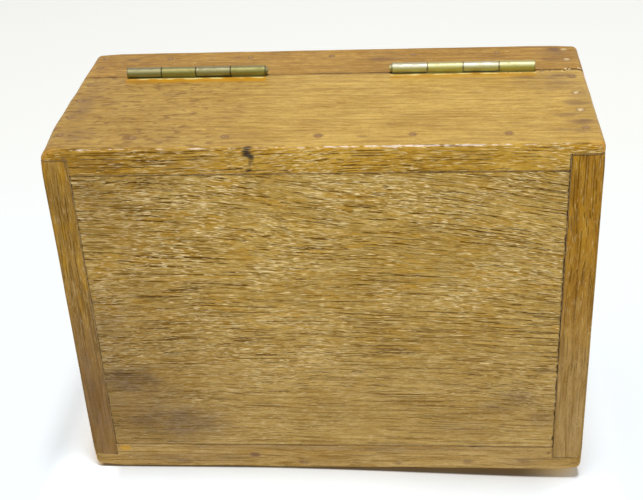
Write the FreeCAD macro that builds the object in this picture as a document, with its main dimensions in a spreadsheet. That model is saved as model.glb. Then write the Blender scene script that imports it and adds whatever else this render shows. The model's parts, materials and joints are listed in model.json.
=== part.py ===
import FreeCAD, Part
import math
import os

import Sketcher

# A small oak box with a hinged lid. It was glued and nailed up as one closed case, and the lid was
# then sawn off, so lid and box share their corner joints and their wood. Front and back boards are
# rebated at both ends and lap over the end boards; floor and top sit inside the frame, flush with
# its edges. Two brass butt hinges join the rims at the back, with only their knuckles outside.
#
# Frame: +Z up, the box stands on its floor at z 0, the front faces -Y and the hinged back +Y.
# Left and right are as seen from the front. The origin is the middle of the base.

doc = FreeCAD.newDocument("OakBox")
sheet = doc.addObject("Spreadsheet::Sheet", "Sizes")

SIZES = [
    # the case
    ("box_length", 228, "outside, from end to end"),
    ("box_depth", 167, "outside, from front to back, without the hinges"),
    ("body_height", 75.4, "from the base up to the lower rim"),
    ("lid_height", 30.3, "from the upper rim to the top"),
    ("rim_gap", 0.3, "hairline between the two rims with the lid shut"),
    ("front_board", 13.5, "thickness"),
    ("back_board", 12.2, "thickness"),
    ("left_board", 13.3, "thickness"),
    ("right_board", 11.3, "thickness"),
    ("floor_board", 13, "thickness"),
    ("top_board", 11, "thickness"),
    ("front_lip", 7.2, "what the rebate leaves of the front board"),
    ("back_lip", 5.1, "what the rebate leaves of the back board"),
    ("joint_fit", 0.15, "hairline in each glued joint"),
    ("corner_round", 3, "worn radius of the four upright corners"),
    ("edge_round", 1.6, "worn radius round the base and round the top"),
    # nails
    ("nail_length", 25, "head to tip"),
    ("nail_shank", 1.6, "diameter"),
    ("nail_point", 3, "length of the taper at the tip"),
    ("nail_head", 2.8, "diameter"),
    ("nail_head_depth", 0.9, "thickness of the head"),
    ("nail_fit", 0.05, "all round a nail in its hole"),
    ("nail_spare", 0.4, "hole left beyond the tip"),
    ("corner_nail_count", 4, "nails in each corner of the box"),
    ("corner_nail_low", 14.5, "lowest corner nail above the base"),
    ("corner_nail_high", 7.8, "highest corner nail below the rim"),
    ("lid_nail_count", 2, "nails in each corner of the lid"),
    ("lid_nail_low", 12, "lower corner nail above the lid's rim"),
    ("lid_nail_high", 6, "upper corner nail below the top"),
    ("panel_nail_count", 5, "nails along each long edge of the floor and of the top"),
    ("panel_nail_inset", 37.4, "from the end of the box to the first of them"),
    ("floor_nail_height", 10.5, "floor nails above the base"),
    ("top_nail_drop", 8.5, "top nails below the top"),
    # hinges
    ("hinge_length", 63.5, "along the knuckles"),
    ("hinge_inset", 21.9, "from the end of the box to the hinge"),
    ("leaf_gauge", 1.05, "thickness of the brass sheet"),
    ("leaf_reach", 9.5, "leaf inside the back face"),
    ("leaf_fit", 0.15, "all round a leaf in its mortise"),
    ("pin_stand", 2.2, "pin centre behind the back face"),
    ("pin_width", 2.2, "diameter of the pin"),
    ("pin_play", 0.05, "all round the pin in its knuckles"),
    ("pin_head", 3.4, "diameter of the domed head"),
    ("pin_head_rise", 1.3, "height of the dome"),
    ("knuckle_count", 4, "knuckles on a hinge, shared by its two leaves"),
    ("knuckle_gap", 0.3, "between neighbouring knuckles"),
    ("notch_gap", 0.3, "leaf cut back from the other leaf's knuckles"),
    ("roll_slit", 0.2, "gap where the rolled sheet meets its leaf again"),
    ("screw_count", 3, "screws in a leaf"),
    ("screw_inset", 9, "from the end of a leaf to its first screw"),
    ("screw_length", 12, "head to tip"),
    ("screw_shank", 2.3, "diameter"),
    ("screw_head", 4.2, "diameter"),
    ("screw_land", 0.1, "leaf left whole under the countersink"),
    ("screw_point", 3, "length of the taper at the tip"),
    ("screw_fit", 0.05, "all round a screw in its hole"),
    ("slot_width", 0.6, "screwdriver slot"),
    ("slot_depth", 0.45, "screwdriver slot"),
    # making
    ("cut_overrun", 1, "how far a cut runs past the face it leaves by"),
]
for row, (alias, number, note) in enumerate(SIZES, 1):
    sheet.set(f"A{row}", alias)
    sheet.set(f"B{row}", str(number))
    sheet.setAlias(f"B{row}", alias)
    sheet.set(f"C{row}", note)
doc.recompute()


class Size:
    """A length of the sheet, or one worked out from others: its number and its expression."""

    def __init__(self, number, text):
        self.number = number
        self.text = text

    def __add__(self, other):
        return Size(self.number + number_of(other), f"({self.text} + {text_of(other)})")

    def __sub__(self, other):
        return Size(self.number - number_of(other), f"({self.text} - {text_of(other)})")

    def __mul__(self, times):
        return Size(self.number * number_of(times), f"({self.text} * {text_of(times)})")

    def __truediv__(self, parts):
        return Size(self.number / number_of(parts), f"({self.text} / {text_of(parts)})")

    def __neg__(self):
        return Size(-self.number, f"(-{self.text})")


class Dimensions:
    """Gives each alias of the sheet as a Size."""

    def __getattr__(self, alias):
        return Size(float(sheet.get(alias)), f"Sizes.{alias}")


def number_of(value):
    return value.number if isinstance(value, Size) else value


def text_of(value):
    return value.text if isinstance(value, Size) else str(value)


dim = Dimensions()
corner_nail_count = int(sheet.get("corner_nail_count"))
lid_nail_count = int(sheet.get("lid_nail_count"))
panel_nail_count = int(sheet.get("panel_nail_count"))
knuckle_count = int(sheet.get("knuckle_count"))
screw_count = int(sheet.get("screw_count"))

# places and lengths that follow from the sizes
box_left = -dim.box_length / 2
box_right = dim.box_length / 2
box_front = -dim.box_depth / 2
box_back = dim.box_depth / 2
rim_height = dim.body_height + dim.rim_gap
box_height = rim_height + dim.lid_height
end_board_length = dim.box_depth - dim.front_lip - dim.back_lip - dim.joint_fit * 2
panel_length = dim.box_length - dim.left_board - dim.right_board - dim.joint_fit * 2
panel_depth = dim.box_depth - dim.front_board - dim.back_board - dim.joint_fit * 2

body_nail_span = dim.body_height - dim.corner_nail_low - dim.corner_nail_high
body_nail_step = body_nail_span / (corner_nail_count - 1)
lid_nail_step = (dim.lid_height - dim.lid_nail_low - dim.lid_nail_high) / (lid_nail_count - 1)
panel_nail_reach = dim.box_length / 2 - dim.panel_nail_inset
panel_nail_step = panel_nail_reach * 2 / (panel_nail_count - 1)
nail_hole = dim.nail_shank + dim.nail_fit * 2
nail_head_hole = dim.nail_head + dim.nail_fit * 2

hinge_starts = {
    "left": dim.hinge_inset,
    "right": dim.box_length - dim.hinge_inset - dim.hinge_length,
}
pin_height = dim.body_height + dim.rim_gap / 2
knuckle_bore = dim.pin_width / 2 + dim.pin_play
knuckle_radius = knuckle_bore + dim.leaf_gauge
knuckle_pitch = dim.hinge_length / knuckle_count
leaf_width = dim.leaf_reach + dim.pin_stand
leaf_edge = leaf_width - knuckle_radius - dim.notch_gap
screw_line = leaf_edge / 2
screw_step = (dim.hinge_length - dim.screw_inset * 2) / (screw_count - 1)
screw_hole = dim.screw_shank + dim.screw_fit * 2
screw_seat = dim.screw_head + dim.screw_fit * 2
screw_head_depth = dim.leaf_gauge - dim.screw_land

PLANES = {"top": "XY_Plane", "front": "XZ_Plane", "side": "YZ_Plane"}


def origin_feature(body, role):
    return next(f for f in body.Origin.OriginFeatures if f.Role == role)


def bind(thing, prop, value):
    """Ties a property to the sheet."""
    thing.setExpression(prop, text_of(value))


def new_body(label, x, y, z, axis=None, turn=0):
    """An empty piece, its own zero at x, y, z of the box, turned about its own axis."""
    body = doc.addObject("PartDesign::Body", label)
    body.Label = label
    if axis:
        body.Placement.Rotation = FreeCAD.Rotation(FreeCAD.Vector(*axis), turn)
    for name, value in (("x", x), ("y", y), ("z", z)):
        bind(body, f"Placement.Base.{name}", value)
    return body


def new_sketch(body, name, plane, offset=0):
    """A sketch on one of the piece's own origin planes, or that far along the plane's normal."""
    sketch = body.newObject("Sketcher::SketchObject", f"{body.Label}_{name}")
    sketch.AttachmentSupport = [(origin_feature(body, PLANES[plane]), "")]
    sketch.MapMode = "FlatFace"
    bind(sketch, "AttachmentOffset.Base.z", offset)
    return sketch


def spot(x, y):
    return FreeCAD.Vector(number_of(x), number_of(y), 0)


def place_point(sketch, item, end, x, y):
    """Holds a point of the sketch at x, y. The sketch's level and upright axes are -1 and -2."""
    for kind, value, zero_line in (("DistanceX", x, -2), ("DistanceY", y, -1)):
        number = number_of(value)
        if number == 0:
            sketch.addConstraint(Sketcher.Constraint("PointOnObject", item, end, zero_line))
        elif number > 0:
            held = Sketcher.Constraint(kind, -1, 1, item, end, number)
            bind(sketch, f"Constraints[{sketch.addConstraint(held)}]", value)
        else:
            held = Sketcher.Constraint(kind, item, end, -1, 1, -number)
            bind(sketch, f"Constraints[{sketch.addConstraint(held)}]", -value)


def draw_outline(sketch, corners):
    """A closed outline of straight lines through the corners."""
    first, count = sketch.GeometryCount, len(corners)
    for i in range(count):
        line = Part.LineSegment(spot(*corners[i]), spot(*corners[(i + 1) % count]))
        sketch.addGeometry(line, False)
    for i, (x, y) in enumerate(corners):
        after = first + (i + 1) % count
        sketch.addConstraint(Sketcher.Constraint("Coincident", first + i, 2, after, 1))
        place_point(sketch, first + i, 1, x, y)


def draw_rectangle(sketch, x0, y0, x1, y1):
    draw_outline(sketch, [(x0, y0), (x1, y0), (x1, y1), (x0, y1)])


def draw_circle(sketch, x, y, diameter):
    circle = Part.Circle(spot(x, y), FreeCAD.Vector(0, 0, 1), number_of(diameter) / 2)
    item = sketch.addGeometry(circle, False)
    place_point(sketch, item, 3, x, y)
    held = Sketcher.Constraint("Diameter", item, number_of(diameter))
    bind(sketch, f"Constraints[{sketch.addConstraint(held)}]", diameter)


def pad(body, sketch, length):
    feature = body.newObject("PartDesign::Pad", f"{sketch.Name}_pad")
    feature.Profile = sketch
    bind(feature, "Length", length)
    doc.recompute()


def revolve(body, sketch):
    """Turns a half section about the sketch's upright axis."""
    feature = body.newObject("PartDesign::Revolution", f"{sketch.Name}_turned")
    feature.Profile = sketch
    feature.ReferenceAxis = (sketch, ["V_Axis"])
    doc.recompute()
    return feature


def repeat(body, features, direction, step, count):
    """Repeats features along one of the piece's own axes."""
    row = body.newObject("PartDesign::LinearPattern", f"{body.Label}_row")
    row.Originals = features
    row.Direction = (origin_feature(body, direction), [""])
    row.Mode = "Spacing"
    bind(row, "Offset", step)
    row.Occurrences = count
    body.Tip = row
    doc.recompute()


def check_cut(body, before, feature):
    """Stops the build if a cut took nothing away."""
    if not body.Shape.Volume < before:
        raise RuntimeError(f"{feature.Name} cuts nothing out of {body.Label}")


def pocket(body, sketch, depth=None, along_normal=False):
    """Cuts a sketch out, against its normal or along it, to a depth or right through."""
    before = body.Shape.Volume
    feature = body.newObject("PartDesign::Pocket", f"{sketch.Name}_cut")
    feature.Profile = sketch
    feature.Reversed = along_normal
    if depth is None:
        feature.Type = "ThroughAll"
    else:
        bind(feature, "Length", depth)
    doc.recompute()
    check_cut(body, before, feature)
    return feature


def start_hole(body, sketch, diameter, along_normal):
    """A hole at each circle of the sketch, right through."""
    hole = body.newObject("PartDesign::Hole", f"{sketch.Name}_hole")
    hole.Profile = sketch
    doc.recompute()
    hole.Threaded = False
    hole.Reversed = along_normal
    hole.DepthType = "ThroughAll"
    bind(hole, "Diameter", diameter)
    return hole


def drill_nail_heads(body, sketch, along_normal):
    """Nail holes right through, opened at the face to let the heads in flush."""
    before = body.Shape.Volume
    hole = start_hole(body, sketch, nail_hole, along_normal)
    hole.HoleCutType = "Counterbore"
    bind(hole, "HoleCutDiameter", nail_head_hole)
    bind(hole, "HoleCutDepth", dim.nail_head_depth + dim.nail_fit)
    doc.recompute()
    check_cut(body, before, hole)


def drill_nail_points(body, sketch, along_normal, passed):
    """Blind holes for the rest of nails that have passed through so much wood already."""
    before = body.Shape.Volume
    hole = start_hole(body, sketch, nail_hole, along_normal)
    hole.DepthType = "Dimension"
    hole.DrillPoint = "Flat"
    bind(hole, "Depth", dim.nail_length - passed + dim.nail_spare)
    doc.recompute()
    check_cut(body, before, hole)


def drill_screw_heads(body, sketch):
    """Screw holes right through a leaf, with a cone parallel to the screw's head."""
    before = body.Shape.Volume
    hole = start_hole(body, sketch, screw_hole, False)
    flare = (dim.screw_head - dim.screw_shank) / 2 / screw_head_depth
    hole.HoleCutType = "Countersink"
    bind(hole, "HoleCutDiameter", screw_seat)
    hole.setExpression("HoleCutCountersinkAngle", f"2 * atan({flare.text})")
    doc.recompute()
    check_cut(body, before, hole)


def round_edges(body, name, radius, wanted):
    """Rounds the straight edges that the test picks by their two ends."""
    base = body.Tip
    picked = []
    for number, edge in enumerate(base.Shape.Edges, 1):
        ends = [vertex.Point for vertex in edge.Vertexes]
        if len(ends) == 2 and wanted(*ends):
            picked.append(f"Edge{number}")
    if not picked:
        raise RuntimeError(f"{body.Label} has no edge to round for its {name}")
    feature = body.newObject("PartDesign::Fillet", f"{body.Label}_{name}")
    feature.Base = (base, picked)
    bind(feature, "Radius", radius)
    doc.recompute()


def at(place, value):
    return math.isclose(place, number_of(value), abs_tol=1e-6)


class Storey:
    """What the boards of the box, or of the lid, take their heights and nails from."""

    def __init__(self, base, height, worn_edge, nail_low, nail_step, nail_count, panel_nails):
        self.base = base
        self.height = height
        self.worn_edge = worn_edge
        self.nail_step = nail_step
        self.corner_nails = [nail_low + nail_step * k for k in range(nail_count)]
        self.panel_nails = panel_nails


box_storey = Storey(
    base=Size(0, "0"),
    height=dim.body_height,
    worn_edge=0,
    nail_low=dim.corner_nail_low,
    nail_step=body_nail_step,
    nail_count=corner_nail_count,
    panel_nails=dim.floor_nail_height,
)
lid_storey = Storey(
    base=rim_height,
    height=dim.lid_height,
    worn_edge=dim.lid_height,
    nail_low=dim.lid_nail_low,
    nail_step=lid_nail_step,
    nail_count=lid_nail_count,
    panel_nails=dim.lid_height - dim.top_nail_drop,
)


def long_board(label, storey, at_back):
    """A front or back board: rebated ends, worn corners, one worn long edge, holes for nails."""
    thickness = dim.back_board if at_back else dim.front_board
    lip = dim.back_lip if at_back else dim.front_lip
    body = new_body(label, box_left, box_back - thickness if at_back else box_front, storey.base)
    outer, inner = (thickness, 0) if at_back else (0, thickness)
    shoulder = thickness - lip if at_back else lip
    left_end = dim.left_board + dim.joint_fit
    right_end = dim.box_length - dim.right_board - dim.joint_fit
    plan = new_sketch(body, "plan", "top")
    draw_outline(plan, [
        (0, outer),
        (0, shoulder),
        (left_end, shoulder),
        (left_end, inner),
        (right_end, inner),
        (right_end, shoulder),
        (dim.box_length, shoulder),
        (dim.box_length, outer),
    ])
    pad(body, plan, storey.height)

    def is_corner(a, b):
        upright = at(a.x, b.x) and at(a.y, b.y)
        return upright and at(a.y, outer) and (at(a.x, 0) or at(a.x, dim.box_length))

    def is_long_edge(a, b):
        return all(at(end.y, outer) and at(end.z, storey.worn_edge) for end in (a, b))

    round_edges(body, "corners", dim.corner_round, is_corner)
    round_edges(body, "long_edge", dim.edge_round, is_long_edge)

    places = new_sketch(body, "nail_places", "front", -thickness if at_back else 0)
    for z in storey.corner_nails:
        draw_circle(places, dim.left_board / 2, z, nail_hole)
        draw_circle(places, dim.box_length - dim.right_board / 2, z, nail_hole)
    for k in range(panel_nail_count):
        x = dim.panel_nail_inset + panel_nail_step * k
        draw_circle(places, x, storey.panel_nails, nail_hole)
    drill_nail_heads(body, places, at_back)
    return body


def end_board(label, storey, at_right):
    """An end board between the two lips, with blind holes for the corner nails."""
    thickness = dim.right_board if at_right else dim.left_board
    x = box_right - thickness if at_right else box_left
    body = new_body(label, x, box_front + dim.front_lip + dim.joint_fit, storey.base)
    outer = thickness if at_right else 0
    plan = new_sketch(body, "plan", "top")
    draw_rectangle(plan, 0, 0, thickness, end_board_length)
    pad(body, plan, storey.height)

    def is_long_edge(a, b):
        return all(at(end.x, outer) and at(end.z, storey.worn_edge) for end in (a, b))

    round_edges(body, "long_edge", dim.edge_round, is_long_edge)
    sides = (("front", dim.front_lip, 0, False), ("back", dim.back_lip, -end_board_length, True))
    for side, lip, offset, along_normal in sides:
        places = new_sketch(body, f"{side}_nail_places", "front", offset)
        for z in storey.corner_nails:
            draw_circle(places, thickness / 2, z, nail_hole)
        drill_nail_points(body, places, along_normal, lip + dim.joint_fit)


def panel(label, base, thickness, nail_height):
    """The floor or the top inside the frame, with blind holes in both long edges."""
    x = box_left + dim.left_board + dim.joint_fit
    body = new_body(label, x, box_front + dim.front_board + dim.joint_fit, base)
    plan = new_sketch(body, "plan", "top")
    draw_rectangle(plan, 0, 0, panel_length, panel_depth)
    pad(body, plan, thickness)
    sides = (("front", dim.front_board, 0, False), ("back", dim.back_board, -panel_depth, True))
    for side, board, offset, along_normal in sides:
        places = new_sketch(body, f"{side}_nail_places", "front", offset)
        for k in range(panel_nail_count):
            x = dim.panel_nail_inset + panel_nail_step * k - dim.left_board - dim.joint_fit
            draw_circle(places, x, nail_height, nail_hole)
        drill_nail_points(body, places, along_normal, board + dim.joint_fit)


def nails(label, x, z, at_back, direction, step, count):
    """A row of nails driven in from the front or the back, heads flush with the face."""
    if at_back:
        body = new_body(label, x, box_back - dim.nail_length, z)
    else:
        body = new_body(label, x, box_front + dim.nail_length, z, (0, 0, 1), 180)
    shank, head = dim.nail_shank / 2, dim.nail_head / 2
    neck = dim.nail_length - dim.nail_head_depth
    half = new_sketch(body, "half", "top")
    draw_outline(half, [
        (0, 0),
        (shank, dim.nail_point),
        (shank, neck),
        (head, neck),
        (head, dim.nail_length),
        (0, dim.nail_length),
    ])
    repeat(body, [revolve(body, half)], direction, step, count)


def corner_nails(prefix, storey):
    """The four upright rows of nails of the box or the lid."""
    lowest, count = storey.base + storey.corner_nails[0], len(storey.corner_nails)
    ends = (("left", box_left + dim.left_board / 2), ("right", box_right - dim.right_board / 2))
    for end, x in ends:
        for side in ("front", "back"):
            label = f"{prefix}{side}_{end}_nails"
            nails(label, x, lowest, side == "back", "Z_Axis", storey.nail_step, count)


def panel_nails(prefix, storey):
    """The two level rows of nails that hold the floor or the top."""
    z = storey.base + storey.panel_nails
    for side, x in (("front", panel_nail_reach), ("back", -panel_nail_reach)):
        label = f"{prefix}_{side}_nails"
        nails(label, x, z, side == "back", "X_Axis", panel_nail_step, panel_nail_count)


def cut_mortises(board, rim, floor, upwards):
    """Lets both hinges' leaves into a rim, open to the back face, and drills for their screws."""
    inner = dim.back_board - dim.leaf_reach
    beds = new_sketch(board, "mortises", "top", rim)
    for start in hinge_starts.values():
        draw_rectangle(
            beds,
            start - dim.leaf_fit,
            inner - dim.leaf_fit,
            start + dim.hinge_length + dim.leaf_fit,
            dim.back_board + dim.cut_overrun,
        )
    pocket(board, beds, dim.leaf_gauge, upwards)
    pilots = new_sketch(board, "pilots", "top", floor)
    for start in hinge_starts.values():
        for k in range(screw_count):
            x = start + dim.screw_inset + screw_step * k
            draw_circle(pilots, x, inner + screw_line, screw_hole)
    pocket(board, pilots, dim.screw_length - dim.leaf_gauge + dim.nail_spare, upwards)


def draw_rolled_sheet(sketch):
    """Section of a leaf: a flat sheet whose edge is rolled up and round the pin, back onto itself."""
    centre = (leaf_width, dim.leaf_gauge + dim.rim_gap / 2)
    slit_top = dim.leaf_gauge + dim.roll_slit

    def meet(radius, height):
        """Where a level line meets a circle about the pin, on the leaf's side."""
        rise = number_of(height) - number_of(centre[1])
        across = math.sqrt(number_of(radius) ** 2 - rise ** 2)
        return number_of(centre[0]) - across, number_of(height), math.atan2(rise, -across)

    under, over = meet(knuckle_radius, 0), meet(knuckle_radius, slit_top)
    bore_over, bore_under = meet(knuckle_bore, slit_top), meet(knuckle_bore, dim.leaf_gauge)
    up = FreeCAD.Vector(0, 0, 1)
    outer = Part.Circle(spot(*centre), up, number_of(knuckle_radius))
    bore = Part.Circle(spot(*centre), up, number_of(knuckle_bore))
    edge = spot(0, dim.leaf_gauge)
    bottom, back, lip, inside, top, front = sketch.addGeometry([
        Part.LineSegment(spot(0, 0), spot(*under[:2])),
        Part.ArcOfCircle(outer, under[2], over[2]),
        Part.LineSegment(spot(*over[:2]), spot(*bore_over[:2])),
        Part.ArcOfCircle(bore, bore_under[2], bore_over[2]),
        Part.LineSegment(spot(*bore_under[:2]), edge),
        Part.LineSegment(edge, spot(0, 0)),
    ], False)
    joins = [(bottom, 2, back, 1), (back, 2, lip, 1), (lip, 2, inside, 2)]
    joins += [(inside, 1, top, 1), (top, 2, front, 1), (front, 2, bottom, 1)]
    for join in joins:
        sketch.addConstraint(Sketcher.Constraint("Coincident", *join))
    for line in (bottom, lip, top):
        sketch.addConstraint(Sketcher.Constraint("Horizontal", line))
    sketch.addConstraint(Sketcher.Constraint("Coincident", back, 3, inside, 3))
    place_point(sketch, bottom, 1, 0, 0)
    place_point(sketch, back, 3, *centre)
    place_point(sketch, front, 1, 0, dim.leaf_gauge)
    held = Sketcher.Constraint("DistanceY", -1, 1, lip, 1, number_of(slit_top))
    bind(sketch, f"Constraints[{sketch.addConstraint(held)}]", slit_top)
    for arc, radius in ((back, knuckle_radius), (inside, knuckle_bore)):
        held = Sketcher.Constraint("Radius", arc, number_of(radius))
        bind(sketch, f"Constraints[{sketch.addConstraint(held)}]", radius)


def hinge_leaf(label, start, on_lid):
    """A leaf with every other knuckle of its hinge. The lid's leaf is the same piece turned over
    end for end, which brings its knuckles between the first one's."""
    inner = box_back - dim.leaf_reach
    if on_lid:
        x, z = box_left + start + dim.hinge_length, rim_height + dim.leaf_gauge
        body = new_body(label, x, inner, z, (0, 1, 0), 180)
    else:
        body = new_body(label, box_left + start, inner, dim.body_height - dim.leaf_gauge)
    section = new_sketch(body, "section", "side")
    draw_rolled_sheet(section)
    pad(body, section, dim.hinge_length)

    above = dim.leaf_gauge + dim.rim_gap / 2 + knuckle_radius + dim.cut_overrun
    behind = leaf_width + knuckle_radius + dim.cut_overrun
    notches = new_sketch(body, "notches", "top", above)
    for k in range(1, knuckle_count, 2):
        low = knuckle_pitch * k - dim.knuckle_gap / 2
        past = dim.cut_overrun if k == knuckle_count - 1 else dim.knuckle_gap / 2
        draw_rectangle(notches, low, leaf_edge, knuckle_pitch * (k + 1) + past, behind)
    pocket(body, notches)

    screws = new_sketch(body, "screw_places", "top", dim.leaf_gauge)
    for k in range(screw_count):
        draw_circle(screws, dim.screw_inset + screw_step * k, screw_line, screw_hole)
    drill_screw_heads(body, screws)


def hinge_screws(label, start, on_lid):
    """The slotted countersunk screws of one leaf."""
    x = box_left + start + dim.screw_inset
    y = box_back - dim.leaf_reach + screw_line
    if on_lid:
        body = new_body(label, x, y, rim_height + dim.screw_length, (1, 0, 0), -90)
    else:
        body = new_body(label, x, y, dim.body_height - dim.screw_length, (1, 0, 0), 90)
    shank, head = dim.screw_shank / 2, dim.screw_head / 2
    half = new_sketch(body, "half", "top")
    draw_outline(half, [
        (0, 0),
        (shank, dim.screw_point),
        (shank, dim.screw_length - screw_head_depth),
        (head, dim.screw_length),
        (0, dim.screw_length),
    ])
    turned = revolve(body, half)
    slot = new_sketch(body, "slot", "top", head + dim.cut_overrun)
    draw_rectangle(
        slot,
        -dim.slot_width / 2,
        dim.screw_length - dim.slot_depth,
        dim.slot_width / 2,
        dim.screw_length + dim.cut_overrun,
    )
    repeat(body, [turned, pocket(body, slot)], "X_Axis", screw_step, screw_count)


def hinge_pin(label, start, head_right):
    """A pin through all the knuckles, its domed head at the end nearer the middle of the box."""
    if head_right:
        x, turn = box_left + start, -90
    else:
        x, turn = box_left + start + dim.hinge_length, 90
    body = new_body(label, x, box_back + dim.pin_stand, pin_height, (0, 0, 1), turn)
    shank, head = dim.pin_width / 2, dim.pin_head / 2
    neck = dim.hinge_length + dim.pin_play
    crown = neck + dim.pin_head_rise
    ball = (head.number ** 2 / dim.pin_head_rise.number + dim.pin_head_rise.number) / 2
    ball_centre = crown.number - ball
    dome = Part.ArcOfCircle(
        Part.Circle(spot(0, ball_centre), FreeCAD.Vector(0, 0, 1), ball),
        math.atan2(neck.number - ball_centre, head.number),
        math.pi / 2,
    )
    half = new_sketch(body, "half", "top")
    tail, side, shoulder, cap, middle = half.addGeometry([
        Part.LineSegment(spot(0, 0), spot(shank, 0)),
        Part.LineSegment(spot(shank, 0), spot(shank, neck)),
        Part.LineSegment(spot(shank, neck), spot(head, neck)),
        dome,
        Part.LineSegment(spot(0, crown), spot(0, 0)),
    ], False)
    joins = [(tail, 2, side, 1), (side, 2, shoulder, 1), (shoulder, 2, cap, 1)]
    joins += [(cap, 2, middle, 1), (middle, 2, tail, 1)]
    for join in joins:
        half.addConstraint(Sketcher.Constraint("Coincident", *join))
    half.addConstraint(Sketcher.Constraint("PointOnObject", cap, 3, -2))
    places = [(tail, 0, 0), (side, shank, 0), (shoulder, shank, neck), (cap, head, neck)]
    for item, x, y in places + [(middle, 0, crown)]:
        place_point(half, item, 1, x, y)
    revolve(body, half)


back = long_board("back_board", box_storey, True)
cut_mortises(back, dim.body_height, dim.body_height - dim.leaf_gauge, False)
long_board("front_board", box_storey, False)
end_board("left_end_board", box_storey, False)
end_board("right_end_board", box_storey, True)
panel("bottom_panel", Size(0, "0"), dim.floor_board, dim.floor_nail_height)
corner_nails("", box_storey)
panel_nails("bottom", box_storey)

lid_back = long_board("lid_back_rail", lid_storey, True)
cut_mortises(lid_back, 0, dim.leaf_gauge, True)
long_board("lid_front_rail", lid_storey, False)
end_board("lid_left_rail", lid_storey, False)
end_board("lid_right_rail", lid_storey, True)
panel(
    "lid_top_panel",
    box_height - dim.top_board,
    dim.top_board,
    dim.top_board - dim.top_nail_drop,
)
corner_nails("lid_", lid_storey)
panel_nails("lid_top", lid_storey)

for side, start in hinge_starts.items():
    hinge_leaf(f"{side}_hinge_body_leaf", start, False)
    hinge_leaf(f"{side}_hinge_lid_leaf", start, True)
    hinge_screws(f"{side}_hinge_body_screws", start, False)
    hinge_screws(f"{side}_hinge_lid_screws", start, True)
    hinge_pin(f"{side}_hinge_pin", start, side == "left")

doc.recompute()
for thing in doc.Objects:
    if "Invalid" in thing.State or "Error" in thing.State:
        raise RuntimeError(f"{thing.Label} is {thing.State}")

pieces = [thing for thing in doc.Objects if thing.isDerivedFrom("PartDesign::Body")]
for piece in pieces:
    if piece.Shape.isNull() or not piece.Shape.isValid() or not piece.Shape.Solids:
        raise RuntimeError(f"{piece.Label} is not a valid solid")

os.makedirs("parts", exist_ok=True)
for piece in pieces:
    piece.Shape.exportStep(f"parts/{piece.Label}.step")
    box = piece.Shape.BoundBox
    print(
        f"{piece.Label}: {len(piece.Shape.Solids)} solid(s), {piece.Shape.Volume:.1f} mm3, "
        f"x {box.XMin:.2f} to {box.XMax:.2f}, y {box.YMin:.2f} to {box.YMax:.2f}, "
        f"z {box.ZMin:.2f} to {box.ZMax:.2f}"
    )
print(f"{len(pieces)} pieces")
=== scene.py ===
import json
import math

import bmesh
import bpy
import numpy as np
from mathutils import Matrix, Vector, noise


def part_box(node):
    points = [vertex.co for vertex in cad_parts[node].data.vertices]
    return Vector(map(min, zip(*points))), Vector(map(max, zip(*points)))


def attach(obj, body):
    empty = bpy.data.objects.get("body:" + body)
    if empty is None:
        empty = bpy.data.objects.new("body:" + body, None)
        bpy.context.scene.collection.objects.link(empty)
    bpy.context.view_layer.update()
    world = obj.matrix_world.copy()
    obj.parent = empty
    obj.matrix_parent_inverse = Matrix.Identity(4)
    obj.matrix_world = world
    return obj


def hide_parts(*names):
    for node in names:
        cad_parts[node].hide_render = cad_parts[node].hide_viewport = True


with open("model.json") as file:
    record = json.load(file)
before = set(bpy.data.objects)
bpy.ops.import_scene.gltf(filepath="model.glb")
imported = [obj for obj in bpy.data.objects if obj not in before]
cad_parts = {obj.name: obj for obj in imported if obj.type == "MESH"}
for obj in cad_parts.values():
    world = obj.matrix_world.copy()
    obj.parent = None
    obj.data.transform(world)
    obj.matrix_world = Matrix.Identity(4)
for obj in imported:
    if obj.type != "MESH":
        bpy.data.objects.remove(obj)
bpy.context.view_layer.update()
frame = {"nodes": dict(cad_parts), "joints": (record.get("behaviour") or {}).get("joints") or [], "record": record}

mm = 0.001
seedStep = (3.7, 5.3, 1.9)   # how far apart two seeds' noise is read
bodyOf = {node: body for body, nodes in frame["record"]["behaviour"]["bodies"].items() for node in nodes}


def addObject(name, data):
    made = bpy.data.objects.new(name, data)
    bpy.context.scene.collection.objects.link(made)
    return made


def boxOf(node):
    # A CAD node's lowest and highest corners in millimetres, as numbers rounded like the source's own.
    low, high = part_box(node)
    return np.round(np.array(low) / mm, 3), np.round(np.array(high) / mm, 3)


# The case as a whole: it stands on z = 0 and its middle is at x = 0, y = 0.
case = {
    "jointFit": 0.15,         # play in every glued joint
    "cornerRound": 3.0,       # the four upright corners
    "cornerUneven": 0.2,
    "cornerWorn": 1.0,        # how much rounder the corner that is worn most has got
    "edgeRound": 1.6,         # round the base and the top
    "edgeUneven": 0.35,
    "edgeWorn": 1.1,          # how much rounder these edges have got at the corners
    "wornFrom": (2, 17),      # how far the wear of that one corner reaches, full and faded
    "wearFrom": (1.5, 13),    # the same for all eight corners
    "arris": 0.26,            # how far every other sharp edge is eased
    "leafGauge": 1.05,        # depth of the beds that the hinge leaves lie in
    "leafFit": 0.15,
}
case["low"] = np.minimum(boxOf("front_board")[0], boxOf("back_board")[0])
case["high"] = np.maximum(boxOf("lid_front_rail")[1], boxOf("lid_back_rail")[1])
case["split"] = (boxOf("back_board")[1][2] + boxOf("lid_back_rail")[0][2]) / 2
hinges = [boxOf(f"{side}_hinge_body_leaf") for side in ("left", "right")]


# Shader maths

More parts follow.
